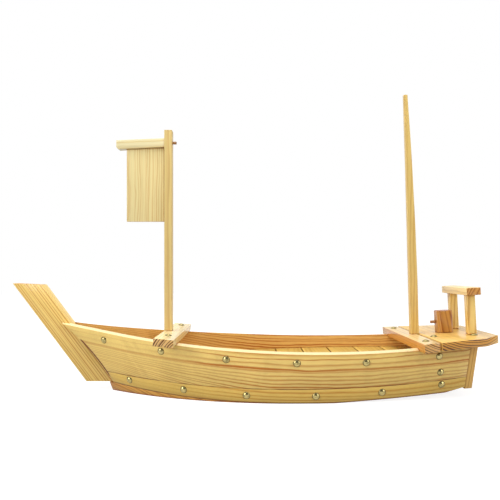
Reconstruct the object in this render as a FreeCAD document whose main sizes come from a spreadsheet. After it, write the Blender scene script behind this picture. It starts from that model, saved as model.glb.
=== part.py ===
import FreeCAD, Part
import math
import os
import re
import Sketcher
from FreeCAD import Placement, Rotation, Vector

# A wooden boat-shaped serving tray: bent side planks on a flat bottom board, a raked stem,
# a slatted tray floor, two beams with masts, and an aft deck with a small gate and a bollard.
# Bow towards -X, port towards -Y, +Z up, origin at the middle of the rest face.

doc = FreeCAD.newDocument("snack_boat")
sheet = doc.addObject("Spreadsheet::Sheet", "Sizes")

SIZES = {
    # side planks: two waterlines, one at the keel and one above the rail, joined by straight rulings
    "plank_thickness": 9.5,
    "form_height": 100,
    "form_stern": 312,
    "keel_half_breadth": 89.8,
    "keel_widest": 54,
    "keel_bow_radius": 402,
    "keel_stern_radius": 800,
    "keel_bow_half": 2,
    "keel_split": -126,
    "rail_half_breadth": 105.7,
    "rail_widest": 84,
    "rail_radius": 620,
    "rail_flare": -186,
    "rail_flare_radius": 409,
    "rail_bow": -264,
    # heights along the side
    "sheer_low": 62.2,
    "sheer_middle": 99,
    "sheer_radius": 2066,
    "sheer_tilt": 12,
    "seam_low": 18.2,
    "seam_middle": 44,
    "seam_radius": 2970,
    "lower_edge_radius": 2150,
    "lower_edge_flat": 44,
    "bow_end_top": -253.6,
    "bow_end_top_height": 91.1,
    "bow_end_foot": -183.2,
    "bow_end_foot_height": 10.6,
    "bow_end_bulge": 5,
    "bow_gap_top_share": 0.31,
    "bow_gap_foot_share": 0.86,
    "bow_gap_width": 2,
    "bow_gap_depth": 3,
    # bottom board
    "bottom_thickness": 12,
    "bottom_front": -186.7,
    "bottom_front_slant": 3.3,
    "run_start": 109,
    "run_slope": 3.3,
    "counter_start": 256,
    "counter_slope": 12.3,
    # stem
    "stem_top": 148,
    "stem_top_fall": 1.8,
    "stem_bottom": 12,
    "stem_breadth": 38.3,
    "stem_foot": -223.5,
    "stem_rake": 53.05,
    "stem_thickness": 20.5,
    # deck, transom and bulkhead
    "deck_front": 240.5,
    "deck_length": 85.3,
    "deck_thickness": 10,
    "deck_under": 67.15,
    "deck_slope": 3.35,
    "deck_front_half": 101.5,
    "deck_corner_station": 61.8,
    "deck_corner_half": 84.5,
    "deck_aft_half": 63,
    "transom_foot": 283.4,
    "transom_rake": 5.5,
    "transom_thickness": 11.2,
    "transom_bottom": 11.8,
    "bulkhead_front": 243,
    "bulkhead_thickness": 9,
    # beams
    "aft_beam_gap": 2.5,
    "aft_beam_width": 21,
    "aft_beam_thickness": 11,
    "aft_beam_half": 107,
    "aft_beam_aft_half": 100,
    "fore_beam_front": -114.2,
    "fore_beam_width": 24.5,
    "fore_beam_thickness": 9.5,
    "fore_beam_length": 200,
    "fore_beam_shift": -7,
    "fore_beam_sink": 0.2,
    "fore_beam_slope": 5.2,
    # masts
    "fore_mast_width": 10.5,
    "fore_mast_depth": 14,
    "fore_mast_top": 359.8,
    "fore_mast_shift": -10,
    "aft_mast_foot": 10.7,
    "aft_mast_middle": 9,
    "aft_mast_head": 5.3,
    "aft_mast_length": 336.5,
    "aft_mast_bend_height": 195,
    "aft_mast_bend": 1.3,
    "aft_mast_lean": 2.15,
    "tenon_inset": 2,
    "tenon_depth": 7,
    "tenon_clearance": 0.15,
    # sail
    "yard_length": 66.4,
    "yard_depth": 12,
    "yard_inner_top": 348.6,
    "yard_inner_bottom": 336.6,
    "yard_outer_top": 345.9,
    "yard_outer_bottom": 333.6,
    "yard_end_chamfer": 2.5,
    "groove_depth": 4,
    "panel_thickness": 4,
    "panel_width": 51.8,
    "panel_bottom": 233.7,
    "panel_gap": 1,
    "dowel_diameter": 4,
    "dowel_clearance": 0.1,
    "dowel_height": 343.2,
    "dowel_reach": 10,
    "dowel_proud": 5.6,
    # tray floor
    "floor_height": 42.3,
    "floor_slope": 1.8,
    "slat_thickness": 6,
    "slat_gap": 1.5,
    "slat_pitch": 39.8,
    "slat_clearance": 0.4,
    "bearer_thickness": 8,
    "bearer_place": 18,
    "bearer_end_clearance": 6.5,
    "bow_bearer_half": 12.7,
    # gate on the deck
    "post_side": 11,
    "post_height": 52.5,
    "port_post_place": 61.9,
    "port_post_spread": 35,
    "starboard_post_place": 63.5,
    "starboard_post_spread": 32,
    "post_lean": 2.9,
    "lintel_width": 19,
    "lintel_thickness": 10,
    "lintel_length": 94,
    "lintel_place": 63.8,
    # bollard on the deck
    "bollard_side": 21,
    "bollard_chamfer": 3.5,
    "bollard_height": 30.5,
    "bollard_place": 37.5,
    "peg_proud": 7,
    "peg_reach": 9,
    "peg_height": 15,
    "peg_side": 3,
    # dome nails
    "nail_head": 9.5,
    "nail_rise": 3.3,
    "nail_shank": 2,
    "nail_length": 7,
    "nail_clearance": 0.05,
    "upper_nail_drop": 11,
    "lower_nail_rise": 9.3,
    "column_nail_lean": 0.144,
    "deck_nail_front": 9.8,
    "deck_nail_front_half": 40,
    "deck_nail_aft": 60.5,
    "deck_nail_aft_half": 47,
}

# nails driven by hand: stations along the two rows, and heights in the column at the bulkhead
NAIL_SPOTS = {
    "upper_nail": (-193.4, -110.8, -25.8, 61.7, 148.3),
    "lower_nail": (-158.0, -81.5, -0.5, 86.0, 170.0),
    "column_nail": (57.2, 35.9, 19.7),
}
for row_name, spots in NAIL_SPOTS.items():
    for number, spot in enumerate(spots, start=1):
        SIZES["%s_%d" % (row_name, number)] = spot



def enter(row, alias, value):
    sheet.set("A%d" % row, alias)
    sheet.set("B%d" % row, str(value))
    sheet.setAlias("B%d" % row, alias)


for row, (alias, value) in enumerate(SIZES.items(), start=1):
    enter(row, alias, value)
doc.recompute()

# reach of a cutting tool that has to pass right through the hull
BEYOND = 400.0
PIECES = {}


def size(alias):
    """One driving dimension, read from the sheet."""
    return float(sheet.get(alias))


def worked_size(alias, value):
    """A size that follows from the others, entered on the sheet under its own name."""
    SIZES[alias] = value
    enter(len(SIZES), alias, value)
    doc.recompute()


def tangent(alias):
    """The tangent of an angle that the sheet holds in degrees."""
    return math.tan(math.radians(size(alias)))


def cell(text):
    """An expression in which every bare alias is read from the sheet."""
    return re.sub(r"[a-z_]+[0-9]*", lambda word: "Sizes." + word.group()
                  if word.group() in SIZES else word.group(), text)


def worked_out(text):
    """The number that such an expression gives now."""
    return float(sheet.evalExpression(cell(text)))


def bind(item, path, text):
    item.setExpression(path, cell(text))


def piece(item, label):
    """Marks a document object as a finished piece and gives it its own name."""
    item.Label = label
    PIECES[label] = item
    return item


def set_place(item, place, tilt, axis=Vector(0, 1, 0)):
    """Binds a corner and a tilt about one axis to expressions on the sheet."""
    item.Placement = Placement(Vector(0, 0, 0), Rotation(axis, 1))
    bind(item, "Placement.Rotation.Angle", tilt)
    for letter, text in zip("xyz", place):
        bind(item, "Placement.Base." + letter, text)


def box(name, length, width, height, place, tilt="0"):
    item = doc.addObject("Part::Box", name)
    for path, text in zip(("Length", "Width", "Height"), (length, width, height)):
        bind(item, path, text)
    set_place(item, place, tilt)
    return item


def rod(name, diameter, length, place, tilt="90"):
    """A round rod whose axis is X when its tilt is 90."""
    item = doc.addObject("Part::Cylinder", name)
    bind(item, "Radius", "(" + diameter + ") / 2")
    bind(item, "Height", length)
    set_place(item, place, tilt)
    return item


def boolean(kind, name, base, tool):
    item = doc.addObject("Part::" + kind, name)
    item.Base = base
    item.Tool = tool
    return item


def solid_feature(name, shape):
    """A bent form that is worked out in code from the sheet's sizes."""
    item = doc.addObject("Part::Feature", name)
    item.Shape = shape
    item.Placement = Placement()
    return item


def place_point(sketch, geometry, point, name, across, up):
    """Holds one point of a sketch at two expressions from the sketch's origin."""
    for letter, text in (("X", across), ("Y", up)):
        number = sketch.addConstraint(Sketcher.Constraint(
            "Distance" + letter, -1, 1, geometry, point, worked_out(text)))
        sketch.renameConstraint(number, name + letter.lower())
        bind(sketch, "Constraints." + name + letter.lower(), text)


def attached_sketch(body, name, role):
    sketch = body.newObject("Sketcher::SketchObject", name)
    plane = next(item for item in body.Origin.OriginFeatures if item.Role == role)
    sketch.AttachmentSupport = (plane, "")
    sketch.MapMode = "FlatFace"
    return sketch


def polygon_sketch(body, name, role, corners):
    """A closed polygon whose corners are held by expressions on the sheet."""
    sketch = attached_sketch(body, name, role)
    spots = [Vector(worked_out(across), worked_out(up), 0) for across, up in corners]
    for index, spot in enumerate(spots):
        sketch.addGeometry(Part.LineSegment(spot, spots[(index + 1) % len(spots)]), False)
    for index in range(len(spots)):
        sketch.addConstraint(Sketcher.Constraint("Coincident", index, 2, (index + 1) % len(spots), 1))
    for index, (across, up) in enumerate(corners):
        place_point(sketch, index, 1, "corner%d" % index, across, up)
    return sketch


def padded(body, sketch, depth, midplane=True):
    pad = body.newObject("PartDesign::Pad", body.Name + "_pad")
    pad.Profile = sketch
    bind(pad, "Length", depth)
    pad.Midplane = midplane
    body.Tip = pad
    return body


def side_profile(name, corners, depth, middle="0"):
    """A body padded evenly about its middle from a polygon drawn in side view."""
    body = doc.addObject("PartDesign::Body", name)
    padded(body, polygon_sketch(body, name + "_profile", "XZ_Plane", corners), depth)
    bind(body, "Placement.Base.y", middle)
    return body


# heights and places that several pieces share, as expressions
RUN_HEIGHT = "(counter_start - run_start) * tan(run_slope)"
AFT_BEAM_FRONT = "deck_front - aft_beam_gap - aft_beam_width"
AFT_BEAM_UNDER = ("deck_under - (aft_beam_gap + aft_beam_width) * tan(deck_slope)"
                  " + (deck_thickness - aft_beam_thickness) / cos(deck_slope)")
FORE_BEAM_MIDDLE = "(fore_beam_front + fore_beam_width / 2)"
FORE_BEAM_UNDER = ("sheer_low + sheer_radius"
                   " - sqrt(sheer_radius ^ 2 - (" + FORE_BEAM_MIDDLE + " - sheer_middle) ^ 2)"
                   " + plank_thickness / 2 * tan(sheer_tilt) - fore_beam_sink"
                   " + fore_beam_width / 2 * sin(fore_beam_slope)")


def board_top(station):
    """Height of the bottom board's upper face abaft the start of its run."""
    return "bottom_thickness + (" + station + " - run_start) * tan(run_slope)"


def deck_under(station):
    return "deck_under + (" + station + " - deck_front) * tan(deck_slope)"


def floor_under(station):
    return "floor_height + (" + station + ") * tan(floor_slope) - slat_thickness / cos(floor_slope)"


def on_deck(along, across, up):
    """A corner given along, across and above the underside of the sloping deck."""
    return ("deck_front + (" + along + ") * cos(deck_slope) - (" + up + ") * sin(deck_slope)",
            across,
            "deck_under + (" + along + ") * sin(deck_slope) + (" + up + ") * cos(deck_slope)")


class Waterline:
    """A half-breadth curve of tangent arcs: (centre x, centre y, radius, start, end, bulge)."""

    def __init__(self, arcs):
        self.arcs = arcs

    def half_breadth(self, station):
        for centre_x, centre_y, radius, start, end, bulge in self.arcs:
            if station <= end:
                break
        return centre_y + bulge * math.sqrt(radius ** 2 - (station - centre_x) ** 2)

    def side(self, height, hand):
        edges = []
        for centre_x, centre_y, radius, start, end, bulge in self.arcs:
            points = [Vector(x, hand * (centre_y + bulge * math.sqrt(radius ** 2 - (x - centre_x) ** 2)),
                             height) for x in (start, (start + end) / 2, end)]
            edges.append(Part.Arc(*points).toShape())
        return edges

    def wire(self, height):
        port = self.side(height, -1)
        starboard = self.side(height, 1)
        bow = Part.makeLine(starboard[0].firstVertex().Point, port[0].firstVertex().Point)
        stern = Part.makeLine(port[-1].lastVertex().Point, starboard[-1].lastVertex().Point)
        return Part.Wire(port + [stern] + starboard[::-1] + [bow])


def keel_line(inset):
    """The waterline at the rest face, moved in by a given amount."""
    middle = size("keel_widest")
    outer = size("keel_bow_radius")
    centre = size("keel_half_breadth") - outer
    radius = outer - inset
    tip = middle - math.sqrt(radius ** 2 - (size("keel_bow_half") - centre) ** 2)
    split = middle + (size("keel_split") - middle) * radius / outer
    stern_radius = size("keel_stern_radius")
    stern_centre = size("keel_half_breadth") - stern_radius
    return Waterline([
        (middle, centre, radius, tip, split, 1),
        (middle, centre, radius, split, middle, 1),
        (middle, stern_centre, stern_radius - inset, middle, size("form_stern"), 1)])


def rail_line(inset):
    """The waterline above the rail, with a hollow flare at the bow, moved in likewise."""
    middle = size("rail_widest")
    outer = size("rail_radius")
    centre = size("rail_half_breadth") - outer
    across = (size("rail_flare") - middle) / outer
    along = math.sqrt(1 - across ** 2)
    reach = outer + size("rail_flare_radius")
    joint = middle + (outer - inset) * across
    return Waterline([
        (middle + reach * across, centre + reach * along, size("rail_flare_radius") + inset,
         size("rail_bow"), joint, -1),
        (middle, centre, outer - inset, joint, middle, 1),
        (middle, centre, outer - inset, middle, size("form_stern"), 1)])


def hull_form(inset):
    """The solid between the two waterlines, which every bent plank lies on."""
    wires = [keel_line(inset).wire(0), rail_line(inset).wire(size("form_height"))]
    return Part.makeLoft(wires, True, True)


def outer_half_breadth(station, height):
    share = height / size("form_height")
    return ((1 - share) * keel_line(0).half_breadth(station)
            + share * rail_line(0).half_breadth(station))


def rising_arc(low, middle, radius, station):
    """Height of a long arc that is lowest at its middle."""
    return low + radius - math.sqrt(radius ** 2 - (station - middle) ** 2)


def sheer(station):
    return rising_arc(size("sheer_low"), size("sheer_middle"), size("sheer_radius"), station)


def seam(station):
    return rising_arc(size("seam_low"), size("seam_middle"), size("seam_radius"), station)


def lower_edge(station):
    """Height of the planks' lower edge: an arc, the flat of the bottom, then its run."""
    if station < size("lower_edge_flat"):
        return rising_arc(0, size("lower_edge_flat"), size("lower_edge_radius"), station)
    return max(0, (station - size("run_start")) * tangent("run_slope"))


def side_prism(edges):
    """A solid right through the hull, from edges drawn in side view."""
    face = Part.Face(Part.Wire(edges))
    face.translate(Vector(0, -BEYOND, 0))
    return face.extrude(Vector(0, 2 * BEYOND, 0))


def side_points(pairs):
    return [Vector(x, 0, z) for x, z in pairs]


def side_polygon(pairs):
    points = side_points(pairs)
    return side_prism(Part.makePolygon(points + points[:1]).Edges)


def below_arc(height_at, start, end, tail):
    """Everything below an arc, carried on aft along a few straight runs."""
    arc = Part.Arc(*side_points([(x, height_at(x)) for x in (start, (start + end) / 2, end)])).toShape()
    path = side_points([(end, height_at(end))] + tail + [(tail[-1][0] if tail else end, -BEYOND),
                                                         (start, -BEYOND), (start, height_at(start))])
    return side_prism([arc] + Part.makePolygon(path).Edges)


def above_sheer(hand):
    """Everything above the rail of one side; the rail is cut square to the flared plank."""
    stations = [size("rail_bow") + (size("form_stern") - size("rail_bow")) * step / 8.0 for step in range(9)]
    curve = Part.BSplineCurve()
    curve.interpolate([Vector(x, hand * outer_half_breadth(x, sheer(x)), sheer(x)) for x in stations])
    outboard = 3 * size("plank_thickness")
    across = Vector(0, -hand, tangent("sheer_tilt"))
    edge = curve.toShape()
    edge.translate(across * -outboard)
    return edge.extrude(across * 3 * outboard).extrude(Vector(0, 0, size("form_height")))


def slab_like(item, extra, lift):
    """A beam's own block, made longer and taller, to seat that beam in the planks."""
    slab = Part.makeBox(float(item.Length) + extra, 2 * BEYOND, float(item.Height) + lift)
    slab.translate(Vector(0, -BEYOND / 2, 0))
    slab.Placement = item.Placement.multiply(slab.Placement)
    return slab


# the stem: one thick raked board, on whose sides the planks' fore ends lie
stem = side_profile("stem", [
    ("stem_foot", "stem_bottom"),
    ("stem_foot + stem_breadth", "stem_bottom"),
    ("stem_foot + stem_breadth - (stem_top - stem_top_fall - stem_bottom) / tan(stem_rake)",
     "stem_top - stem_top_fall"),
    ("stem_foot - (stem_top - stem_bottom) / tan(stem_rake)", "stem_top")], "stem_thickness")

# the beams: the aft one lies in the plane of the deck, the fore one follows the rail
aft_beam_block = box("aft_beam_block", "aft_beam_width", "2 * aft_beam_half", "aft_beam_thickness",
                     (AFT_BEAM_FRONT, "0 - aft_beam_half", AFT_BEAM_UNDER), "0 - deck_slope")
fore_beam_block = box("fore_beam_block", "fore_beam_width", "fore_beam_length", "fore_beam_thickness",
                      ("fore_beam_front", "fore_beam_shift - fore_beam_length / 2", FORE_BEAM_UNDER),
                      "fore_beam_slope")
deck_space = box("deck_space", "2 * deck_length", "2 * aft_beam_half", "deck_thickness",
                 on_deck("0", "0 - aft_beam_half", "0"), "0 - deck_slope")
doc.recompute()


def square_ring(side, height):
    half = side / 2
    return Part.makePolygon([Vector(x * half, y * half, height) for x, y in
                             ((1, 1), (-1, 1), (-1, -1), (1, -1), (1, 1))])


def nail_shank(top):
    """A square shank with a pointed end, from its tip up to a given height."""
    side = size("nail_shank")
    length = size("nail_length")
    return Part.makeLoft([square_ring(side, top), square_ring(side, side - length),
                          square_ring(side / 8, -length)], True, True)


def nail():
    """A dome nail that points down, with a twelve-sided dome, standing on the origin."""
    head = size("nail_head") / 2
    rise = size("nail_rise")
    low = size("nail_clearance")
    ball = (head ** 2 + rise ** 2) / (2 * rise)
    rings = []
    for share in (1, 0.8, 0.42):
        height = low + rise - ball + math.sqrt(ball ** 2 - (share * head) ** 2)
        rings.append(Part.makePolygon([
            Vector(share * head * math.cos(math.radians(30 * turn)),
                   share * head * math.sin(math.radians(30 * turn)), height) for turn in range(13)]))
    return Part.makeLoft(rings, True, True).fuse(nail_shank(low + rise / 4)).removeSplitter()


def nail_hole():
    return nail_shank(size("nail_length"))


def standing(point, normal):
    return Placement(point, Rotation(Vector(0, 0, 1), normal))


def on_surface(form, station, height, hand):
    """The spot and the outward direction where the hull's side stands at a height."""
    probe = Part.makeLine(Vector(station, hand * BEYOND, height), Vector(station, 0, height))
    spot = form.common(probe).Vertexes
    point = max((vertex.Point for vertex in spot), key=lambda found: hand * found.y)
    face = min(form.Faces, key=lambda item: item.distToShape(Part.Vertex(point))[0])
    normal = face.normalAt(*face.Surface.parameter(point))
    return point, normal * (1 if normal.y * hand > 0 else -1)


outer_form = hull_form(0)
inner_form = hull_form(size("plank_thickness"))
tray_form = solid_feature("tray_form", hull_form(size("plank_thickness") + size("slat_clearance")))
outside = solid_feature("outside_form", outer_form)
inside = solid_feature("inside_form", inner_form)


def side_nail_places(hand):
    """Two rows along the side and a column into the bulkhead."""
    upper, lower, column = [[size("%s_%d" % (row_name, number)) for number in range(1, len(spots) + 1)]
                            for row_name, spots in NAIL_SPOTS.items()]
    marks = [(x, sheer(x) - size("upper_nail_drop")) for x in upper]
    marks += [(x, lower_edge(x) + size("lower_nail_rise")) for x in lower]
    middle = size("bulkhead_front") + size("bulkhead_thickness") / 2
    marks += [(middle + (column[1] - height) * size("column_nail_lean"), height) for height in column]
    return [standing(*on_surface(outer_form, x, z, hand)) for x, z in marks]


def top_place(block, along, across):
    """A spot on the upper face of a tilted block, and the direction square to it."""
    normal = block.Placement.Rotation.multVec(Vector(0, 0, 1))
    spot = block.Placement.multVec(Vector(along, 0, float(block.Height)))
    return standing(Vector(spot.x, across, spot.z), normal)


def beam_nail_places(block):
    middle = block.Placement.multVec(Vector(float(block.Length) / 2, 0, 0))
    half = outer_half_breadth(middle.x, middle.z) - size("plank_thickness") / 2
    return [top_place(block, float(block.Length) / 2, hand * half) for hand in (-1, 1)]


def deck_nail_places():
    return [top_place(deck_space, size("deck_nail_" + end), hand * size("deck_nail_" + end + "_half"))
            for end in ("front", "aft") for hand in (-1, 1)]


NAIL_PLACES = {
    "port": side_nail_places(-1),
    "starboard": side_nail_places(1),
    "fore_beam": beam_nail_places(fore_beam_block),
    "aft_beam": beam_nail_places(aft_beam_block),
    "deck": deck_nail_places(),
}


def placed(shape, placements):
    return Part.makeCompound([shape.transformed(spot.toMatrix()) for spot in placements])


# side planks: each side is an upper and a lower strake, glued edge to edge along the seam
TRANSOM_FRONT = [(size("transom_foot") + (z - size("transom_bottom")) * tangent("transom_rake"), z)
                 for z in (-BEYOND, BEYOND)]
COUNTER = [(size("run_start"), 0),
           (size("counter_start"), worked_out(RUN_HEIGHT)),
           (size("counter_start") + BEYOND, worked_out(RUN_HEIGHT) + BEYOND * tangent("counter_slope"))]
BOW_END = side_points([(size("bow_end_top"), size("bow_end_top_height")),
                       (size("bow_end_foot"), size("bow_end_foot_height"))])
form_start = size("rail_bow") - size("plank_thickness")
aft_space = side_polygon(TRANSOM_FRONT + [(2 * BEYOND, BEYOND), (2 * BEYOND, -BEYOND)])


def bow_end(share):
    """A point of the bulging line on which the planks end, from its top (0) to its foot (1)."""
    chord = BOW_END[1] - BOW_END[0]
    square = Vector(-chord.z, 0, chord.x).normalize()
    return BOW_END[0] + chord * share + square * (4 * share * (1 - share) * size("bow_end_bulge"))


bow_curve = Part.BSplineCurve()
bow_curve.interpolate([bow_end(share) for share in (-0.5, 0, 0.25, 0.5, 0.75, 1, 1.4)])
bow_corners = [bow_end(1.4), Vector(-3 * BEYOND, 0, -BEYOND), Vector(-3 * BEYOND, 0, BEYOND), bow_end(-0.5)]
bow_space = side_prism([bow_curve.toShape()] + Part.makePolygon(bow_corners).Edges)
under_planks = below_arc(lower_edge, form_start, size("lower_edge_flat"), COUNTER)
under_seam = below_arc(seam, form_start, size("form_stern") + BEYOND / 4, [])


def side_planks(hand):
    """One side of the hull, cut to its edges and ends, with its beam seats and nail holes."""
    half = Part.makeBox(3 * BEYOND, BEYOND, BEYOND, Vector(-1.5 * BEYOND, 0 if hand > 0 else -BEYOND, 0))
    side = outer_form.cut(inner_form).common(half)
    gap = size("aft_beam_gap") + size("plank_thickness") * tangent("deck_slope")
    tools = [above_sheer(hand), aft_space, bow_space, under_planks, stem.Shape,
             slab_like(fore_beam_block, 0, size("form_height")),
             slab_like(aft_beam_block, gap, size("form_height")),
             slab_like(deck_space, 0, size("form_height"))]
    for tool in tools:
        side = side.cut(tool)
    return side.cut(side_holes.Shape)


side_holes = solid_feature("side_holes", placed(
    nail_hole(), NAIL_PLACES["port"] + NAIL_PLACES["starboard"]))
# a narrow open joint, let into the stem's sides just before the middle of the planks' ends
gap_ends = [bow_end(size("bow_gap_top_share")), bow_end(size("bow_gap_foot_share"))]
gap_middle = bow_end((size("bow_gap_top_share") + size("bow_gap_foot_share")) / 2)
gap_arcs = [Part.Arc(gap_ends[0], gap_middle - Vector(back, 0, 0), gap_ends[1]).toShape()
            for back in (0, size("bow_gap_width"))]
gap_core = Part.makeBox(3 * BEYOND, size("stem_thickness") - 2 * size("bow_gap_depth"), BEYOND,
                        Vector(-3 * BEYOND, size("bow_gap_depth") - size("stem_thickness") / 2, 0))
stem_gaps = solid_feature("stem_gaps", side_prism(gap_arcs).cut(gap_core))
piece(boolean("Cut", "stem_jointed", stem, stem_gaps), "stem_post")

for side_name, hand in (("port", -1), ("starboard", 1)):
    planks = side_planks(hand)
    piece(solid_feature(side_name + "_upper", planks.cut(under_seam)), side_name + "_upper_strake")
    piece(solid_feature(side_name + "_lower", planks.common(under_seam)), side_name + "_lower_strake")

# the bottom board: flat, then rising aft, rebated where the planks lap its edges
after_transom = solid_feature("after_transom", aft_space)
strakes = solid_feature("strakes", Part.makeCompound(
    [PIECES[side + part].Shape for side in ("port", "starboard") for part in ("_upper_strake", "_lower_strake")]))
board = side_profile("board_blank", [
    ("bottom_front - bottom_front_slant", "bottom_thickness"),
    ("bottom_front", "0"),
    ("run_start", "0"),
    ("counter_start", RUN_HEIGHT),
    ("form_stern", RUN_HEIGHT + " + (form_stern - counter_start) * tan(counter_slope)"),
    ("form_stern", board_top("form_stern")),
    ("run_start", "bottom_thickness")], "4 * keel_half_breadth")
board = boolean("Common", "board_outline", board, outside)
board = boolean("Cut", "board_trimmed", board, after_transom)
board = boolean("Cut", "board_rebated", board, strakes)
piece(boolean("Cut", "board_drilled", board, side_holes), "bottom_board")

# the transom closes the stern and the bulkhead carries the fore edge of the deck
TRANSOM_TOP = "(transom_foot + (deck_under - transom_bottom) * tan(transom_rake))"
TRANSOM_WIDE = "transom_thickness / cos(transom_rake)"
transom = side_profile("transom_blank", [
    ("transom_foot", "transom_bottom"),
    ("transom_foot + " + TRANSOM_WIDE, "transom_bottom"),
    (TRANSOM_TOP + " + " + TRANSOM_WIDE + " + transom_thickness * tan(transom_rake)",
     "deck_under + transom_thickness"),
    (TRANSOM_TOP + " + transom_thickness * tan(transom_rake)", "deck_under + transom_thickness")],
    "4 * keel_half_breadth")
transom = boolean("Common", "transom_outline", transom, outside)
piece(boolean("Cut", "transom_trimmed", transom, deck_space), "transom")
BULKHEAD_AFT = "bulkhead_front + bulkhead_thickness"
bulkhead = side_profile("bulkhead_blank", [
    ("bulkhead_front", board_top("bulkhead_front")),
    (BULKHEAD_AFT, board_top("(" + BULKHEAD_AFT + ")")),
    (BULKHEAD_AFT, deck_under("(" + BULKHEAD_AFT + ")")),
    ("bulkhead_front", deck_under("bulkhead_front"))], "4 * keel_half_breadth")
piece(boolean("Common", "bulkhead_outline", bulkhead, inside), "aft_bulkhead")

# the tray floor: slats laid across two bearers and, at the bow, a short cross bearer


def tray_station(half_breadth):
    """Where the tray's inner walls, at the board's upper face, come this close at the bow."""
    share = size("bottom_thickness") / size("form_height")
    inset = size("plank_thickness") + size("slat_clearance")
    lines = ((1 - share, keel_line(inset)), (share, rail_line(inset)))
    low, high = lines[0][1].arcs[0][3], size("keel_split")
    while high - low > 1e-6:
        middle = (low + high) / 2
        wide = sum(part * line.half_breadth(middle) for part, line in lines)
        low, high = (middle, high) if wide < half_breadth else (low, middle)
    return round(low, 3)


worked_size("bearer_front", tray_station(
    size("bearer_place") + size("bearer_thickness") / 2 + size("bearer_end_clearance")))
worked_size("bow_bearer_place", tray_station(size("bow_bearer_half")) - size("bearer_thickness"))
for side_name, middle in (("port", "0 - bearer_place"), ("starboard", "bearer_place")):
    piece(side_profile(side_name + "_bearer", [
        ("bearer_front", "bottom_thickness"),
        ("run_start", "bottom_thickness"),
        ("bulkhead_front", board_top("bulkhead_front")),
        ("bulkhead_front", floor_under("bulkhead_front")),
        ("bearer_front", floor_under("bearer_front"))], "bearer_thickness", middle),
        side_name + "_floor_bearer")
BOW_BEARER_AFT = "bow_bearer_place + bearer_thickness"
bow_bearer = side_profile("bow_bearer_blank", [
    ("bow_bearer_place", "bottom_thickness"),
    (BOW_BEARER_AFT, "bottom_thickness"),
    (BOW_BEARER_AFT, floor_under(BOW_BEARER_AFT)),
    ("bow_bearer_place", floor_under("bow_bearer_place"))], "4 * keel_half_breadth")
piece(boolean("Common", "bow_bearer_outline", bow_bearer, tray_form), "bow_floor_bearer")

slat_count = math.ceil((size("bulkhead_front") - size("bow_bearer_place")) / size("slat_pitch"))
for number in range(1, slat_count + 1):
    station = "(bulkhead_front - %d * slat_pitch + slat_gap / 2)" % number
    blank = box("slat_blank_%d" % number, "slat_pitch - slat_gap", "4 * keel_half_breadth", "slat_thickness",
                (station, "0 - 2 * keel_half_breadth", floor_under(station)), "0 - floor_slope")
    piece(boolean("Common", "slat_%d" % number, blank, tray_form), "floor_slat_%02d" % number)


def mast_socket(name, middle_x, middle_y, width, depth, top):
    """A stub tenon under a mast's foot and the slightly larger mortise for it."""
    made = []
    for kind, play in (("tenon", "0"), ("mortise", "tenon_clearance")):
        made.append(box(name + "_" + kind,
                        width + " - 2 * tenon_inset + 2 * " + play,
                        depth + " - 2 * tenon_inset + 2 * " + play,
                        "2 * tenon_depth + " + play,
                        (middle_x + " - (" + width + ") / 2 + tenon_inset - " + play,
                         middle_y + " - (" + depth + ") / 2 + tenon_inset - " + play,
                         top + " - tenon_depth - " + play)))
    return made


# the fore mast stands flush with the front of its beam
FORE_MAST_MIDDLE = "fore_beam_front + fore_mast_width / 2"
FORE_MAST_BASE = ("(" + FORE_BEAM_UNDER + " + fore_beam_thickness / cos(fore_beam_slope)"
                  " - fore_mast_width * tan(fore_beam_slope))")
mast = box("fore_mast_blank", "fore_mast_width", "fore_mast_depth", "fore_mast_top - " + FORE_MAST_BASE,
           ("fore_beam_front", "fore_mast_shift - fore_mast_depth / 2", FORE_MAST_BASE))
tenon, fore_mortise = mast_socket("fore", FORE_MAST_MIDDLE, "fore_mast_shift",
                                  "fore_mast_width", "fore_mast_depth", FORE_MAST_BASE)
mast = boolean("Cut", "fore_mast_foot", mast, fore_beam_block)
mast = boolean("Fuse", "fore_mast_tenoned", mast, tenon)
dowel_hole = rod("dowel_hole", "dowel_diameter + 2 * dowel_clearance",
                 "fore_mast_width + dowel_reach + dowel_clearance + dowel_proud",
                 ("fore_beam_front - dowel_reach - dowel_clearance", "fore_mast_shift", "dowel_height"))
piece(boolean("Cut", "fore_mast_bored", mast, dowel_hole), "fore_mast")

# the aft mast is shaved to a curved taper and leans forward, and its foot reaches over the gap
# behind the beam up to the deck
AFT_MAST_MIDDLE = "(deck_front - aft_mast_foot / 2)"
AFT_MAST_SEAT = "(aft_mast_foot - aft_beam_gap)"
AFT_MAST_BASE = ("(deck_under + deck_thickness / cos(deck_slope)"
                 " - aft_mast_foot * tan(deck_slope))")
aft_mast = doc.addObject("PartDesign::Body", "aft_mast_blank")
sections = []
for end, lift, bend in (("foot", "0", "0"), ("middle", "aft_mast_bend_height", "aft_mast_bend"),
                        ("head", "aft_mast_length", "0")):
    half = "aft_mast_" + end + " / 2"
    sketch = polygon_sketch(aft_mast, "aft_mast_" + end, "XY_Plane", [
        ("0 - " + half, "0 - " + half), (half, "0 - " + half), (half, half), ("0 - " + half, half)])
    bind(sketch, "AttachmentOffset.Base.z", lift)
    bind(sketch, "AttachmentOffset.Base.x", bend)
    sections.append(sketch)
taper = aft_mast.newObject("PartDesign::AdditiveLoft", "aft_mast_taper")
taper.Profile = sections[0]
taper.Sections = sections[1:]
aft_mast.Tip = taper
set_place(aft_mast, (AFT_MAST_MIDDLE, "0", AFT_MAST_BASE), "0 - aft_mast_lean")
tenon, aft_mortise = mast_socket("aft", "deck_front - aft_beam_gap - " + AFT_MAST_SEAT + " / 2", "0",
                                 AFT_MAST_SEAT, "aft_mast_foot", AFT_MAST_BASE)
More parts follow.
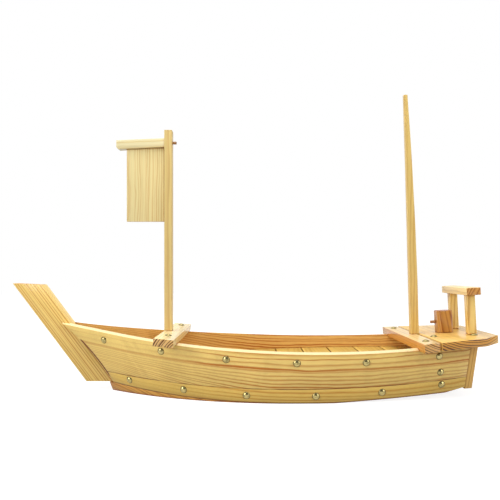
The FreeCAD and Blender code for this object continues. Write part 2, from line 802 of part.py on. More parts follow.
below_mast = box("below_aft_mast", "aft_beam_gap + aft_beam_width", "2 * aft_beam_half",
                 "aft_beam_thickness", (AFT_BEAM_FRONT, "0 - aft_beam_half", AFT_BEAM_UNDER),
                 "0 - deck_slope")
aft_mast = boolean("Cut", "aft_mast_foot_cut", aft_mast, below_mast)
piece(boolean("Fuse", "aft_mast_tenoned", aft_mast, tenon), "aft_mast")

# the aft beam's ends are sawn along the taper of the hull
aft_beam_board = doc.addObject("PartDesign::Body", "aft_beam_board")
padded(aft_beam_board, polygon_sketch(aft_beam_board, "aft_beam_outline", "XY_Plane", [
    ("0", "0 - aft_beam_half"), ("aft_beam_width", "0 - aft_beam_aft_half"),
    ("aft_beam_width", "aft_beam_aft_half"), ("0", "aft_beam_half")]),
    "aft_beam_thickness", midplane=False)
set_place(aft_beam_board, (AFT_BEAM_FRONT, "0", AFT_BEAM_UNDER), "0 - deck_slope")
for name, board, mortise in (("fore", fore_beam_block, fore_mortise), ("aft", aft_beam_board, aft_mortise)):
    holes = solid_feature(name + "_beam_holes", placed(nail_hole(), NAIL_PLACES[name + "_beam"]))
    beam = boolean("Cut", name + "_beam_mortised", board, mortise)
    piece(boolean("Cut", name + "_beam_drilled", beam, holes), name + "_beam")

# the sail: a thin board let into a grooved yard, which a dowel pins to the fore mast
PANEL_END = "fore_beam_front - panel_gap"
panel = box("sail_panel", "panel_width", "panel_thickness",
            "yard_outer_bottom + groove_depth - panel_bottom",
            (PANEL_END + " - panel_width", "fore_mast_shift - panel_thickness / 2", "panel_bottom"))
piece(panel, "sail_panel")
YARD_END = "fore_beam_front - yard_length"
yard = side_profile("yard_blank", [
    ("fore_beam_front", "yard_inner_bottom"),
    ("fore_beam_front", "yard_inner_top"),
    (YARD_END, "yard_outer_top"),
    (YARD_END, "yard_outer_bottom + yard_end_chamfer"),
    (YARD_END + " + yard_end_chamfer", "yard_outer_bottom")], "yard_depth", "fore_mast_shift")
yard = boolean("Cut", "yard_grooved", yard, panel)
piece(boolean("Cut", "yard_bored", yard, dowel_hole), "sail_yard")
piece(rod("yard_pin", "dowel_diameter", "dowel_reach + fore_mast_width + dowel_proud",
          ("fore_beam_front - dowel_reach", "fore_mast_shift", "dowel_height")), "yard_dowel")

# the deck: one board whose sides follow the hull's taper and whose after corners are sawn off
deck = doc.addObject("PartDesign::Body", "deck_board")
padded(deck, polygon_sketch(deck, "deck_outline", "XY_Plane", [
    ("0", "0 - deck_front_half"), ("deck_corner_station", "0 - deck_corner_half"),
    ("deck_length", "0 - deck_aft_half"), ("deck_length", "deck_aft_half"),
    ("deck_corner_station", "deck_corner_half"), ("0", "deck_front_half")]),
    "deck_thickness", midplane=False)
set_place(deck, on_deck("0", "0", "0"), "0 - deck_slope")
deck_holes = solid_feature("deck_holes", placed(nail_hole(), NAIL_PLACES["deck"]))
piece(boolean("Cut", "deck_drilled", deck, deck_holes), "aft_deck")

# the gate: two square posts, cut to the deck's slope at the foot and to the lintel's at the head
lintel = piece(box("lintel", "lintel_width", "lintel_length", "lintel_thickness",
                   on_deck("lintel_place - lintel_width / 2", "0 - lintel_length / 2",
                           "deck_thickness + post_height"), "0 - deck_slope"), "gate_lintel")
gate_space = box("gate_space", "4 * lintel_width", "lintel_length", "4 * lintel_thickness",
                 on_deck("lintel_place - 2 * lintel_width", "0 - lintel_length / 2",
                         "deck_thickness + post_height"), "0 - deck_slope")
for side_name, hand in (("port", "0 - "), ("starboard", "")):
    post = box(side_name + "_post", "post_side", "post_side", "post_height + deck_thickness",
               on_deck(side_name + "_post_place - post_side / 2",
                       hand + side_name + "_post_spread - post_side / 2", "deck_thickness / 2"),
               "0 - post_lean")
    post = boolean("Cut", side_name + "_post_foot", post, deck_space)
    piece(boolean("Cut", side_name + "_post_head", post, gate_space), side_name + "_gate_post")

# the bollard: a square block with its upright corners taken off, and a peg in its fore face
OUT = "bollard_side / 2"
IN = "(bollard_side / 2 - bollard_chamfer)"
bollard = doc.addObject("PartDesign::Body", "bollard_blank")
CORNERS = [(OUT, IN), (IN, OUT), ("0 - " + IN, OUT), ("0 - " + OUT, IN),
           ("0 - " + OUT, "0 - " + IN), ("0 - " + IN, "0 - " + OUT), (IN, "0 - " + OUT), (OUT, "0 - " + IN)]
padded(bollard, polygon_sketch(bollard, "bollard_section", "XY_Plane", CORNERS),
       "bollard_height", midplane=False)
set_place(bollard, on_deck("bollard_place", "0", "deck_thickness"), "0 - deck_slope")


def bollard_rod(name, diameter, start, length):
    return rod(name, diameter, length,
               on_deck("bollard_place - bollard_side / 2 - " + start, "peg_side",
                       "deck_thickness + peg_height"), "90 - deck_slope")


peg_hole = bollard_rod("peg_hole", "dowel_diameter + 2 * dowel_clearance", "peg_proud",
                       "peg_proud + peg_reach + dowel_clearance")
piece(boolean("Cut", "bollard_bored", bollard, peg_hole), "bollard")
piece(bollard_rod("peg", "dowel_diameter", "peg_proud", "peg_proud + peg_reach"), "bollard_peg")

# every dome nail, in one group
piece(solid_feature("nails", placed(nail(), [spot for group in NAIL_PLACES.values() for spot in group])),
      "dome_nails")

doc.recompute()
for item in doc.Objects:
    if any(state in ("Invalid", "Error") for state in item.State):
        raise RuntimeError(item.Name + " failed: " + str(item.State))
for label, item in PIECES.items():
    if item.Shape.isNull() or not item.Shape.isValid() or not item.Shape.Solids:
        raise RuntimeError(label + " has no valid solid")

os.makedirs("parts", exist_ok=True)
for label, item in PIECES.items():
    item.Shape.exportStep("parts/" + label + ".step")
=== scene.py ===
import math

import bmesh
import bpy
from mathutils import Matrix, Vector


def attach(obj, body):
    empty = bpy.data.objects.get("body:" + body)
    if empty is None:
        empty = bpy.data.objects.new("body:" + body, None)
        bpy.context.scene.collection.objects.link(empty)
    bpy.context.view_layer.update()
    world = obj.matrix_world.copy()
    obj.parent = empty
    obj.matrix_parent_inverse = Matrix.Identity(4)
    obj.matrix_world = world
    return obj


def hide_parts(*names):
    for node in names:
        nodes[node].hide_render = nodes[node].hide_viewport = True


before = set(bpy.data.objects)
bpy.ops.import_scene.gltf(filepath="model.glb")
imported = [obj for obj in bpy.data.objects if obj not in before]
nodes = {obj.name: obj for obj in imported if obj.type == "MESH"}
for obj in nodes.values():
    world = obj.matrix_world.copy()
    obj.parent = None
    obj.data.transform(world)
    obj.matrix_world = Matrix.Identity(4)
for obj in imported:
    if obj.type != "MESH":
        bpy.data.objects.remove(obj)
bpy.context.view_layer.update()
scene = bpy.context.scene
scene.view_settings.view_transform = "Standard"
MM = 0.001

# The camera stands level in front of the port side, a little forward of the middle of the boat.
# Its eye is 775 mm from the keel line and 167 mm above the table, and the frame is 500 pixels
# wide, so a lens of 550 pixels is 39.6 mm on a 36 mm sensor, raised by 20 of those pixels.
EYE = Vector((4, -775, 166.6)) * MM
FRAME_PIXELS = 500
LENS_PIXELS = 550
RAISED_PIXELS = 20
camera = bpy.data.objects.new("camera", bpy.data.cameras.new("camera"))
camera.data.sensor_width = 36
camera.data.lens = camera.data.sensor_width * LENS_PIXELS / FRAME_PIXELS
camera.data.shift_y = RAISED_PIXELS / FRAME_PIXELS
camera.location = EYE
camera.rotation_euler = (math.radians(90), 0, 0)
scene.collection.objects.link(camera)
scene.camera = camera

# The studio is a white sweep with a wide soft box over the boat, a weaker one on either side in
# front, and light from all round. The camera sees the backdrop as plain white, and so do the varnish
# and the brass, except that the room in front of the boat is dark in them.


def linear(colour):
    """A hex colour of a screen as the linear red, green, blue and alpha that a node takes."""
    parts = [int(colour[place:place + 2], 16) / 255 for place in (1, 3, 5)]
    return [part / 12.92 if part < 0.04045 else ((part + 0.055) / 1.055) ** 2.4 for part in parts] + [1]


def add(tree, kind, settings=None, inputs=None):
    """One node of a tree with its settings, and with values or other nodes' outputs at its inputs."""
    node = tree.nodes.new(kind)
    for name, value in (settings or {}).items():
        setattr(node, name, value)
    for socket, value in (inputs or {}).items():
        if isinstance(value, bpy.types.NodeSocket):
            tree.links.new(value, node.inputs[socket])
        else:
            node.inputs[socket].default_value = value
    return node


def mixed(tree, share, first, second):
    """A colour that goes from the first to the second with the share."""
    return add(tree, "ShaderNodeMix", {"data_type": "RGBA"}, {0: share, 6: first, 7: second}).outputs[2]


AROUND = 0.45
ROOM_IN_FRONT = 0.15
world = bpy.data.worlds.new("studio")
scene.world = world
world.use_nodes = True
tree = world.node_tree
tree.nodes.clear()
ray = add(tree, "ShaderNodeLightPath").outputs
direction = add(tree, "ShaderNodeTexCoord").outputs["Generated"]
depth = add(tree, "ShaderNodeSeparateXYZ", None, {0: direction}).outputs["Y"]
mirrored = add(tree, "ShaderNodeMapRange", None, {
    "Value": depth, "From Min": -0.8, "From Max": -0.1, "To Min": ROOM_IN_FRONT, "To Max": 1.0}).outputs[0]
level = add(tree, "ShaderNodeMix", None, {0: ray["Is Glossy Ray"], 2: AROUND, 3: mirrored}).outputs[0]
level = add(tree, "ShaderNodeMath", {"operation": "MAXIMUM"}, {0: level, 1: ray["Is Camera Ray"]}).outputs[0]
sky = add(tree, "ShaderNodeBackground", None, {"Color": linear("#ffffff"), "Strength": level})
add(tree, "ShaderNodeOutputWorld", None, {"Surface": sky.outputs[0]})

SOFT_BOXES = (("over", (-0.2, -0.15, 1.4), 1.4, 19.0), ("left", (-1.5, -1.2, 0.7), 0.9, 18.0),
              ("right", (1.7, -1.0, 0.7), 0.9, 12.0))
for name, spot, side, power in SOFT_BOXES:
    lamp = bpy.data.objects.new(name + "_soft_box", bpy.data.lights.new(name + "_soft_box", "AREA"))
    lamp.data.size = side
    lamp.data.energy = power
    lamp.location = spot
    lamp.rotation_euler = (Vector(spot) - Vector((0, 0, 0.05))).to_track_quat("Z", "Y").to_euler()
    scene.collection.objects.link(lamp)

FLOOR_REACH = 3.0
FLOOR_OWN_LIGHT = 0.86
FLOOR_SHADE = 0.35
floor_mesh = bpy.data.meshes.new("floor")
floor_corners = [(x * FLOOR_REACH, y * FLOOR_REACH, 0) for x, y in ((-1, -1), (1, -1), (1, 1), (-1, 1))]
floor_mesh.from_pydata(floor_corners, [], [(0, 1, 2, 3)])
floor = bpy.data.objects.new("floor", floor_mesh)
scene.collection.objects.link(floor)
sweep = bpy.data.materials.new("white_sweep")
sweep.use_nodes = True
tree = sweep.node_tree
tree.nodes.clear()
ray = add(tree, "ShaderNodeLightPath").outputs
seen = add(tree, "ShaderNodeMath", {"operation": "MAXIMUM"},
           {0: ray["Is Camera Ray"], 1: ray["Is Glossy Ray"]}).outputs[0]
card = add(tree, "ShaderNodeBsdfDiffuse", None, {"Color": linear("#8e8e8a")}).outputs[0]
shaded = add(tree, "ShaderNodeBsdfDiffuse", None, {"Color": [FLOOR_SHADE] * 3 + [1]}).outputs[0]
glow = add(tree, "ShaderNodeEmission", None, {"Strength": FLOOR_OWN_LIGHT}).outputs[0]
shown = add(tree, "ShaderNodeAddShader", None, {0: shaded, 1: glow}).outputs[0]
sweep_shader = add(tree, "ShaderNodeMixShader", None, {0: seen, 1: card, 2: shown}).outputs[0]
add(tree, "ShaderNodeOutputMaterial", None, {"Surface": sweep_shader})
floor.data.materials.append(sweep)

# The side planks are varnished pine, two strakes a side, steamed or sprung round the bottom board
# and glued edge to edge. The year rings show as lines that follow the sheer, pale spring wood with
# orange-brown summer wood. In the upper strake they lie close together near the stem and spread
# aft, below one strong line, with only broad faint ones above it.
SHEER_RADIUS = 2066
SHEER_MIDDLE = 99
RINGS_CLOSEST = -190
RINGS_FULL = 40
RING_SHARE_AT_BOW = 0.55
SEAM_LOW = 18.2
SEAM_MIDDLE = 44
SEAM_RADIUS = 2970
# The tops of the planks are painted pale cream as a highlight, for the light the varnish catches there.
PAINTED_TOP_HIGHLIGHT = "#f4e4c0"
# The seam between the strakes is a dark glue line; the same dark colour is also painted as shade in the open
# gap at the planks' bow ends and as a shadow along the hull's lower edge.
GLUE_LINE = 0.75
GLUE_AND_SHADOW_COLOUR = "#702c00"

# The planks' ends lie along a slightly bowed line in the side view, from its top to its foot, and
# stand a little open from the stem over the middle part of it; the shade in that gap is painted on
# the planks as a dark line. The planks' lower edge rises in an arc before the flat of the bottom and
# in a straight run abaft it, and a thin painted shadow follows it.
BOW_END_TOP = Vector((-253.6, 91.1))
BOW_END_FOOT = Vector((-183.2, 10.6))
BOW_END_BULGE = 5
OPEN_FROM, OPEN_TO = 0.31, 0.86
OPEN_WIDTH = 2.2
LOWER_EDGE_FLAT = 44
LOWER_EDGE_RADIUS = 2150
RUN_START = 109
RUN_RISE = math.tan(math.radians(3.3))


def sawn_wood(name, spring, summer, pith=(0, 0, 0), grain=(1, 0, 0), ring=4.0, wander=4.0, strength=0.8,
              strong_level=None, broad=8.0, glued=False, painted_shade=None, end_tint="#dcb48c", on_sides=1.0):
    """Varnished softwood: year rings round a pith line, in the piece's own place, in millimetres.

    With a strong level the rings run along the sheer instead, a ring apart below that level near the
    middle of the boat, closer at the bow, and broad above it. A painted shade is a direction and a tint
    that darkens the faces turned that way, painted in place of the shade that falls on them, and
    on_sides is the share of the rings' strength beside the end grain."""
    material = bpy.data.materials.new(name)
    material.use_nodes = True
    tree = material.node_tree
    tree.nodes.clear()

    def number(operation, *values):
        return add(tree, "ShaderNodeMath", {"operation": operation}, dict(enumerate(values))).outputs[0]

    def ranged(value, low, high, to_low=0.0, to_high=1.0, kind="LINEAR"):
        limits = {"Value": value, "From Min": low, "From Max": high, "To Min": to_low, "To Max": to_high}
        return add(tree, "ShaderNodeMapRange", {"interpolation_type": kind}, limits).outputs[0]

    def tinted(colour, share, tint):
        return add(tree, "ShaderNodeMix", {"data_type": "RGBA", "blend_type": "MULTIPLY"},
                   {0: share, 6: colour, 7: linear(tint)}).outputs[2]

    def spread(vector, across, lengthwise, detail):
        """Noise drawn out along the grain, from the length of its features across and along."""
        stretched = add(tree, "ShaderNodeVectorMath", {"operation": "MULTIPLY"},
                        {0: vector, 1: (1 / lengthwise, 1 / across, 1 / across)}).outputs[0]
        return add(tree, "ShaderNodeTexNoise", None,
                   {"Vector": stretched, "Scale": 1.0, "Detail": detail}).outputs[0]

    def above_arc(low, middle, radius):
        """How far in millimetres a point lies above an arc that rises to both ends of the boat."""
        away = number("SUBTRACT", millimetres[0], middle)
        rise = number("DIVIDE", number("MULTIPLY", away, away), 2 * radius)
        return number("SUBTRACT", number("SUBTRACT", millimetres[2], rise), low)

    def facing(direction):
        return add(tree, "ShaderNodeVectorMath", {"operation": "DOT_PRODUCT"},
                   {0: normal, 1: Vector(direction).normalized()}).outputs["Value"]

    normal = add(tree, "ShaderNodeNewGeometry").outputs["Normal"]
    place = add(tree, "ShaderNodeTexCoord").outputs["Object"]
    scaled = add(tree, "ShaderNodeVectorMath", {"operation": "SCALE"}, {0: place, "Scale": 1 / MM}).outputs[0]
    millimetres = add(tree, "ShaderNodeSeparateXYZ", None, {0: scaled}).outputs
    turn = Vector(grain).to_track_quat("X", "Z").to_euler()
    local = add(tree, "ShaderNodeMapping", {"vector_type": "TEXTURE"}, {
        "Vector": scaled, "Location": pith, "Rotation": turn}).outputs[0]
    bend = number("MULTIPLY", number("SUBTRACT", spread(local, 30, 190, 2), 0.5), 2 * wander)
    shiver = number("MULTIPLY", number("SUBTRACT", spread(local, 8, 42, 2), 0.5), 0.8 * wander)
    bend = number("ADD", bend, shiver)
    if strong_level is None:
        section = add(tree, "ShaderNodeVectorMath", {"operation": "MULTIPLY"},
                      {0: local, 1: (0, 1, 1)}).outputs[0]
        radius = add(tree, "ShaderNodeVectorMath", {"operation": "LENGTH"}, {0: section}).outputs["Value"]
        rings = number("DIVIDE", number("ADD", radius, bend), ring)
        level = None
    else:
        amidships = ranged(millimetres[0], RINGS_CLOSEST, RINGS_FULL, kind="SMOOTHSTEP")
        bend = number("MULTIPLY", bend, ranged(amidships, 0, 1, 0.25, 1.0))
        level = number("ADD", above_arc(strong_level, SHEER_MIDDLE, SHEER_RADIUS), bend)
        closer = ranged(amidships, 0, 1, RING_SHARE_AT_BOW * ring, ring)
        rings = number("SUBTRACT", number("DIVIDE", number("MINIMUM", level, 0.0), closer),
                       number("DIVIDE", number("MAXIMUM", level, 0.0), -broad))
    uneven = add(tree, "ShaderNodeTexNoise", {"noise_dimensions": "1D"},
                 {"W": number("MULTIPLY", rings, 0.6), "Scale": 1.0, "Detail": 1.0}).outputs[0]
    rings = number("ADD", rings, number("MULTIPLY", uneven, 1.4))
    ramp = add(tree, "ShaderNodeValToRGB", None, {0: number("FRACT", rings)})
    ramp.color_ramp.elements[0].color = (0.35, 0.35, 0.35, 1)
    ramp.color_ramp.elements[1].color = (0.35, 0.35, 0.35, 1)
    for share, dark in ((0.16, 0.0), (0.5, 0.08), (0.74, 0.75), (0.88, 1.0)):
        ramp.color_ramp.elements.new(share).color = (dark, dark, dark, 1)
    year = add(tree, "ShaderNodeTexWhiteNoise", {"noise_dimensions": "1D"},
               {"W": number("FLOOR", rings)}).outputs["Value"]
    dark = number("MULTIPLY", ramp.outputs[0], ranged(year, 0, 1, 0.6, 1.0))
    if level is not None:
        faint = ranged(amidships, 0, 1, 0.2, 1.0)
        below = ranged(amidships, 0, 1, 0.6, 1.0)
        dark = number("MULTIPLY", dark, ranged(level, -1, 3, below, faint))
        line = ranged(number("ABSOLUTE", level), 0.5, 2.2, 1.0, 0.0, "SMOOTHSTEP")
        dark = number("MAXIMUM", dark, number("MULTIPLY", line, ranged(amidships, 0, 1, 0.4, 0.9)))
        # Painted highlight: on faces turned up, the tops of the planks, the rings fade out, and below the
        # colour is lightened towards a pale cream, for the light the varnished tops catch.
        top = ranged(facing((0, 0, 1)), 0.5, 0.8)
        dark = number("MULTIPLY", dark, ranged(top, 0, 1, 1.0, 0.12))
    patch = ranged(spread(local, 26, 170, 1), 0.35, 0.65, 0.7, 1.0)
    dark = number("MULTIPLY", number("MULTIPLY", dark, patch), strength)
    end = ranged(number("ABSOLUTE", facing(grain)), 0.6, 0.85)
    dark = number("MULTIPLY", dark, ranged(end, 0, 1, on_sides, 1.0))
    fibre = spread(local, 0.9, 45, 3)
    colour = mixed(tree, dark, linear(spring), linear(summer))
    # Painted highlight on the tops of the planks.
    if level is not None:
        colour = mixed(tree, number("MULTIPLY", top, 0.5), colour, linear(PAINTED_TOP_HIGHLIGHT))
    colour = tinted(colour, end, end_tint)
    # Painted shade: faces turned the given way are darkened by its tint.
    if painted_shade:
        direction, tint = painted_shade
        colour = tinted(colour, ranged(facing(direction), 0.4, 0.7), tint)
    if glued:
        off = number("ABSOLUTE", above_arc(SEAM_LOW, SEAM_MIDDLE, SEAM_RADIUS))
        glue_and_painted_shade = ranged(off, 0.4 * GLUE_LINE, GLUE_LINE, 1.0, 0.0)
        glue_and_painted_shade = number("MULTIPLY", glue_and_painted_shade, ranged(spread(local, 60, 38, 2), 0.38, 0.55, 0.3, 0.9))
        slope = BOW_END_FOOT - BOW_END_TOP
        down = Vector((slope.x, 0, slope.y)).normalized()
        back = Vector((-slope.y, 0, slope.x)).normalized()
        start = Vector((BOW_END_TOP.x, 0, BOW_END_TOP.y))

        def along(direction):
            measured = add(tree, "ShaderNodeVectorMath", {"operation": "DOT_PRODUCT"},
                           {0: scaled, 1: direction}).outputs["Value"]
            return number("SUBTRACT", measured, start.dot(direction))

        share = number("DIVIDE", along(down), slope.length)
        bow = number("MULTIPLY", share, number("SUBTRACT", 1.0, share))
        bulge = number("MULTIPLY", bow, 4 * BOW_END_BULGE)
        behind = number("SUBTRACT", along(back), bulge)
        # Painted shade: a dark line on the planks where their ends stand open from the stem, for the shade in
        # that gap.
        open_end_shade = number("MULTIPLY", ranged(behind, 0.7 * OPEN_WIDTH, OPEN_WIDTH, 1.0, 0.0),
                          number("MULTIPLY", ranged(share, OPEN_FROM - 0.03, OPEN_FROM),
                                 ranged(share, OPEN_TO, OPEN_TO + 0.05, 1.0, 0.2)))
        # Painted shadow: a thin dark line just above the hull's lower edge.
        forward = number("MINIMUM", number("SUBTRACT", millimetres[0], LOWER_EDGE_FLAT), 0.0)
        rise = number("DIVIDE", number("MULTIPLY", forward, forward), 2 * LOWER_EDGE_RADIUS)
        run = number("MAXIMUM", number("SUBTRACT", millimetres[0], RUN_START), 0.0)
        bottom = number("ADD", rise, number("MULTIPLY", run, RUN_RISE))
        keel_line_shadow = ranged(number("SUBTRACT", millimetres[2], bottom), 0.8, 2.0, 0.8, 0.0)
        # The glue line and the painted shade and shadow lines take the same dark colour.
        glue_and_painted_shade = number("MAXIMUM", number("MAXIMUM", glue_and_painted_shade, open_end_shade), keel_line_shadow)
        colour = mixed(tree, glue_and_painted_shade, colour, linear(GLUE_AND_SHADOW_COLOUR))
    colour = add(tree, "ShaderNodeVectorMath", {"operation": "SCALE"},
                 {0: colour, "Scale": ranged(fibre, 0.3, 0.7, 0.93, 1.05)}).outputs[0]
    # Painted shade: crevices, corners and narrow gaps within 3 mm are darkened towards orange brown, for the
    # shade that falls in them.
    openness_for_painted_shade = add(tree, "ShaderNodeAmbientOcclusion", {"samples": 8}, {"Distance": 3 * MM}).outputs["AO"]
    colour = tinted(colour, ranged(openness_for_painted_shade, 0.3, 0.8, 1.0, 0.0), "#b4661e")
    relief = number("SUBTRACT", number("MULTIPLY", fibre, 0.5), number("MULTIPLY", dark, 0.2))
    bump = add(tree, "ShaderNodeBump", None,
               {"Height": relief, "Strength": 0.35, "Distance": 0.15 * MM}).outputs[0]
    shader = add(tree, "ShaderNodeBsdfPrincipled", None, {
        "Base Color": colour, "Roughness": ranged(fibre, 0, 1, 0.34, 0.5), "Normal": bump, "IOR": 1.5,
        "Specular IOR Level": 0.15, "Coat Weight": 0.35, "Coat Roughness": 0.12, "Coat IOR": 1.5})
    add(tree, "ShaderNodeOutputMaterial", None, {"Surface": shader.outputs[0]})
    return material


def eased(name, material, radius, angle=35):
    """A copy of a CAD node with its sharp edges sanded round, which stands for that node."""
    mesh = nodes[name].data.copy()
    mesh.materials.clear()
    mesh.materials.append(material)
    body = bmesh.new()
    body.from_mesh(mesh)
    bmesh.ops.remove_doubles(body, verts=body.verts, dist=0.01 * MM)
    bmesh.ops.dissolve_limit(body, angle_limit=math.radians(0.6), verts=body.verts, edges=body.edges)
    for face in body.faces:
        face.material_index = 0
        face.smooth = True
    body.to_mesh(mesh)
    body.free()
    piece = bpy.data.objects.new(name + "_eased", mesh)
    scene.collection.objects.link(piece)
    bevel = piece.modifiers.new("sanded edges", "BEVEL")
    bevel.width = radius * MM
    bevel.segments = 2
    bevel.limit_method = "ANGLE"
    bevel.angle_limit = math.radians(angle)
    bevel.harden_normals = True
    bpy.context.view_layer.update()
    finished = bpy.data.meshes.new_from_object(piece.evaluated_get(bpy.context.evaluated_depsgraph_get()))
    piece.modifiers.clear()
    piece.data = finished
    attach(piece, "root")
    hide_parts(name)
    return piece


LOWER_STRONG_LEVEL = -30
for side, hand, strong_level in (("port", -1, 43), ("starboard", 1, 84)):
    # Painted shade: the strakes' inner faces are darkened with a greyish pink tint.
    painted_inside_shade = ((0, -hand, 0), "#dac4b4")
    upper = sawn_wood(side + "_upper_pine", "#f4d27a", "#b86410", ring=4.4, wander=4.0, strength=1.2,
                      strong_level=strong_level, broad=6.5, glued=True, painted_shade=painted_inside_shade)
    lower = sawn_wood(side + "_lower_pine", "#e2bd60", "#b46c14", wander=3.0, strength=0.85,
                      strong_level=LOWER_STRONG_LEVEL, broad=5.5, glued=True, painted_shade=painted_inside_shade)
    eased(side + "_upper_strake", upper, 0.6)
    eased(side + "_lower_strake", lower, 0.6)

# The bottom board, the transom, the bulkhead and the floor bearers are the same pine, sawn and
# left a little browner where their end grain shows.
bottom_pine = sawn_wood("bottom_pine", "#dca248", "#8c4a10", (0, 60, -70), (1, 0.05, 0.12), 4.2, 3, 0.9)
bulkhead_pine = sawn_wood("bulkhead_pine", "#d9ac60", "#a9713a", (260, 0, -60), (0, 1, 0), 4.5, 3, 0.7)
transom_pine = sawn_wood("transom_pine", "#ecbc64", "#a05a18", (200, -70, 0), (0.1, 0, 1), 3.2, 2, 1.0)
eased("bottom_board", bottom_pine, 0.5)
eased("transom", transom_pine, 0.6)
for name, material in (("aft_bulkhead", bulkhead_pine), ("port_floor_bearer", bottom_pine),
                       ("starboard_floor_bearer", bottom_pine), ("bow_floor_bearer", bottom_pine)):
    eased(name, material, 0.5)

# The stem is one thick board sawn with its rings on edge, so that its sides show close straight
# stripes along the rake, and its faces fore and aft are plain.
STEM_RAKE = math.radians(53.05)
stem_pine = sawn_wood("stem_pine", "#f2cf78", "#b0640c", (-340, 0, 122),
                      (-math.cos(STEM_RAKE), 0, math.sin(STEM_RAKE)), 3.3, 0.6, 1.0)
eased("stem_post", stem_pine, 0.8)

# The floor of the tray is made of thin slats of golden pine, laid across with narrow gaps.
for name in sorted(nodes):
    if name.startswith("floor_slat"):
        order = int(name[-2:])
        # Painted shade: the slats' sides that face aft are darkened, for the shade in the gaps between them.
        slat_pine = sawn_wood(name + "_pine", "#e0bc60", "#b5802c", (-200 + 41 * order, 0, -30 - 7 * order),
                              (0.02 * (order % 3 - 1), 1, 0), 4.5, 3, 0.6, painted_shade=((1, 0, 0), "#704c24"))
        eased(name, slat_pine, 0.4)

# The two beams lie across the gunwales, planed pine with the grain along the beam, so that their
# ends show the rings as slanting stripes.
fore_beam_pine = sawn_wood("fore_beam_pine", "#f5dba0", "#5c2c10", (-70, 0, 52), (0, 1, 0), 3.3, 1.0, 1.8,
                           end_tint="#f4dcc0", on_sides=0.15)
# Painted shade: the aft beam's fore face is darkened a little.
aft_beam_pine = sawn_wood("aft_beam_pine", "#eecb8c", "#4c2008", (262, 0, 158), (0, 1, 0), 2.9, 1.0, 1.8,
                          end_tint="#f4dcc0", on_sides=0.15, painted_shade=((-1, 0, 0), "#e4bc7c"))
eased("fore_beam", fore_beam_pine, 0.7)
eased("aft_beam", aft_beam_pine, 0.7)

# The masts are square sticks of straight pine, the aft one shaved to a taper.
fore_mast_pine = sawn_wood("fore_mast_pine", "#dfc682", "#b9803c", (-80, 25, 0), (0, 0, 1), 4.0, 2.5, 0.55)
aft_mast_pine = sawn_wood("aft_mast_pine", "#e2c274", "#b47c34", (262, 22, 0), (0.01, 0, 1), 4.0, 2.5, 0.6)
eased("fore_mast", fore_mast_pine, 0.7)
eased("aft_mast", aft_mast_pine, 0.7)

# The sail is a thin pale board with upright grain in a grooved yard, and a hardwood dowel pins
# the yard through the mast.
sail_pine = sawn_wood("sail_pine", "#eedca0", "#c88c3c", (-176, 34, 120), (0.012, 0, 1), 2.3, 2.5, 0.8)
yard_pine = sawn_wood("yard_pine", "#f0e3b4", "#d8b468", (-150, 30, 300), (1, 0, 0.06), 4.5, 2.0, 0.7)
dowel_wood = sawn_wood("dowel_wood", "#b08050", "#7c4a28", (0, 30, 300), (1, 0, 0), 2.0, 1.0, 0.6)
eased("sail_panel", sail_pine, 0.4)
eased("sail_yard", yard_pine, 0.8)
eased("yard_dowel", dowel_wood, 0.4)

# The deck is one wide board with its grain athwart, so that its sides show end grain: arcs that
# lie flat in the middle and slant towards the ends.
deck_pine = sawn_wood("deck_pine", "#e8bc66", "#542408", (288, 0, 175), (0, 1, 0), 3.1, 1.2, 1.8,
                      end_tint="#f8dcb4", on_sides=0.17)
eased("aft_deck", deck_pine, 0.9)

# The little gate on the deck is a plank on two square posts, glued and pinned from below.
post_pine = sawn_wood("post_pine", "#f0d080", "#ac742c", (330, 20, 0), (0.05, 0, 1), 4.2, 2.5, 0.9)
lintel_pine = sawn_wood("lintel_pine", "#f4d898", "#9a5e24", (335, 0, 115), (0, 1, 0), 4.6, 3.0, 0.9,
                        on_sides=0.45)
for name in ("port_gate_post", "starboard_gate_post"):
    eased(name, post_pine, 0.7)
eased("gate_lintel", lintel_pine, 0.8)

# The bollard is a short block of a redder wood with its corners taken off, and a peg of the same
# wood through its fore side.
bollard_wood = sawn_wood("bollard_wood", "#c48f48", "#843f16", (250, 30, 0), (-0.2, 0, 1), 4.4, 2.5, 0.9)
eased("bollard", bollard_wood, 0.7)
eased("bollard_peg", dowel_wood, 0.5)

# Dome nails of antique brass hold the planks, beams and deck: pressed caps with a polished crown,
# and dark lacquer left at the rim.
NAIL_RADIUS = 4.75
NAIL_RISE = 2.3
NAIL_LENGTH = 7
RIM_THICKNESS = 0.25
DOME_SIDES = 24
DOME_RINGS = 8
crown = (NAIL_RADIUS ** 2 + NAIL_RISE ** 2) / (2 * NAIL_RISE)
widest = math.asin(NAIL_RADIUS / crown)
dome = bmesh.new()
darkness = dome.verts.layers.float.new("rim")
profile = []
for ring_number in range(DOME_RINGS + 1):
    polar = widest * ring_number / DOME_RINGS
    profile.append((crown * math.sin(polar), crown * math.cos(polar) - crown + NAIL_RISE,
                    (ring_number / DOME_RINGS) ** 4))
profile += [(NAIL_RADIUS, -RIM_THICKNESS, 1.0), (0, -RIM_THICKNESS, 1.0)]
points = []
for out, up, dark in profile:
    point = dome.verts.new(Vector((out, 0, up)) * MM)
    point[darkness] = dark
    points.append(point)
edges = [dome.edges.new(pair) for pair in zip(points, points[1:])]
bmesh.ops.spin(dome, geom=points + edges, axis=(0, 0, 1), cent=(0, 0, 0), angle=2 * math.pi,
               steps=DOME_SIDES, use_duplicate=False)
bmesh.ops.remove_doubles(dome, verts=dome.verts, dist=0.01 * MM)
bmesh.ops.recalc_face_normals(dome, faces=dome.faces)
for face in dome.faces:
    face.smooth = True
dome_mesh = bpy.data.meshes.new("nail_cap")
dome.to_mesh(dome_mesh)
dome.free()
nail_cap = bpy.data.objects.new("nail_cap", dome_mesh)

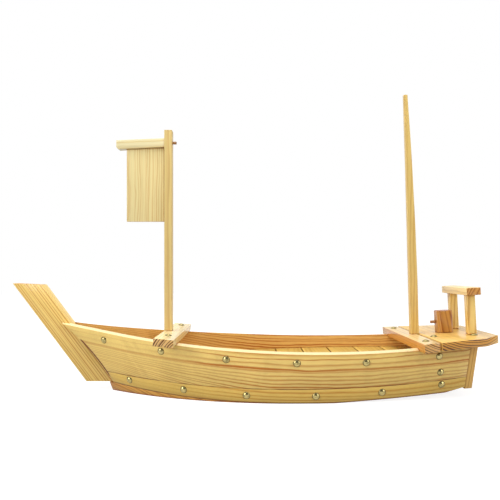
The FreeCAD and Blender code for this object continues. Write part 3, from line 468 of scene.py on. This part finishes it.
seats = bmesh.new()
seats.from_mesh(nodes["dome_nails"].data)
bmesh.ops.remove_doubles(seats, verts=seats.verts, dist=0.01 * MM)
places, outward, left = [], [], set(seats.verts)
while left:
    island, fresh = set(), {left.pop()}
    while fresh:
        island |= fresh
        fresh = {edge.other_vert(point) for point in fresh for edge in point.link_edges} - island
    left -= island
    corners = [point.co.copy() for point in island]
    centre = sum(corners, Vector()) / len(corners)
    corners.sort(key=lambda corner: (corner - centre).length, reverse=True)
    tip = sum(corners[:4], Vector()) / 4
    cap = [corner for corner in corners if (corner - tip).length > (NAIL_LENGTH + 0.3) * MM]
    axis = (sum(cap, Vector()) / len(cap) - tip).normalized()
    places.append(tip + axis * NAIL_LENGTH * MM)
    outward.append(axis)
seats.free()

nail_mesh = bpy.data.meshes.new("nail_places")
nail_mesh.from_pydata(places, [], [])
directions = nail_mesh.attributes.new("outward", "FLOAT_VECTOR", "POINT")
directions.data.foreach_set("vector", [part for axis in outward for part in axis])
nails = bpy.data.objects.new("brass_dome_nails", nail_mesh)
scene.collection.objects.link(nails)

brass = bpy.data.materials.new("antique_brass")
brass.use_nodes = True
tree = brass.node_tree
tree.nodes.clear()
rim = add(tree, "ShaderNodeAttribute", {"attribute_name": "rim"}).outputs["Fac"]
place = add(tree, "ShaderNodeTexCoord").outputs["Object"]
tarnish = add(tree, "ShaderNodeTexNoise", None, {"Vector": place, "Scale": 260.0, "Detail": 2.0}).outputs[0]
worn = add(tree, "ShaderNodeMapRange", None,
           {"Value": tarnish, "From Min": 0.42, "From Max": 0.66, "To Min": 0.0, "To Max": 0.55}).outputs[0]
dull = add(tree, "ShaderNodeMath", {"operation": "MAXIMUM"}, {0: rim, 1: worn}).outputs[0]
colour = mixed(tree, dull, linear("#b8a870"), linear("#3c3218"))
finish = add(tree, "ShaderNodeMapRange", None, {"Value": dull, "To Min": 0.2, "To Max": 0.5}).outputs[0]
shader = add(tree, "ShaderNodeBsdfPrincipled", None, {
    "Base Color": colour, "Roughness": finish, "Metallic": 1.0})
add(tree, "ShaderNodeOutputMaterial", None, {"Surface": shader.outputs[0]})

tree = bpy.data.node_groups.new("nails in their places", "GeometryNodeTree")
tree.interface.new_socket("Places", in_out="INPUT", socket_type="NodeSocketGeometry")
cap_input = tree.interface.new_socket("Nail cap", in_out="INPUT", socket_type="NodeSocketObject")
finish_input = tree.interface.new_socket("Finish", in_out="INPUT", socket_type="NodeSocketMaterial")
tree.interface.new_socket("Nails", in_out="OUTPUT", socket_type="NodeSocketGeometry")
given = add(tree, "NodeGroupInput").outputs
cloud = add(tree, "GeometryNodeMeshToPoints", None, {"Mesh": given["Places"]}).outputs[0]
cap = add(tree, "GeometryNodeObjectInfo", None, {"Object": given["Nail cap"]}).outputs["Geometry"]
direction = add(tree, "GeometryNodeInputNamedAttribute", {"data_type": "FLOAT_VECTOR"},
                {"Name": "outward"}).outputs[0]
upright = add(tree, "FunctionNodeAlignEulerToVector", {"axis": "Z"}, {"Vector": direction}).outputs[0]
set_in = add(tree, "GeometryNodeInstanceOnPoints", None,
             {"Points": cloud, "Instance": cap, "Rotation": upright}).outputs[0]
real = add(tree, "GeometryNodeRealizeInstances", None, {"Geometry": set_in}).outputs[0]
finished = add(tree, "GeometryNodeSetMaterial", None,
               {"Geometry": real, "Material": given["Finish"]}).outputs[0]
add(tree, "NodeGroupOutput", None, {0: finished})
pattern = nails.modifiers.new("nails", "NODES")
pattern.node_group = tree
pattern[cap_input.identifier] = nail_cap
pattern[finish_input.identifier] = brass
bpy.context.view_layer.update()
nails_made = bpy.data.meshes.new_from_object(nails.evaluated_get(bpy.context.evaluated_depsgraph_get()))
nails.modifiers.clear()
nails.data = nails_made
bpy.data.objects.remove(nail_cap)
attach(nails, "root")
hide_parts("dome_nails")
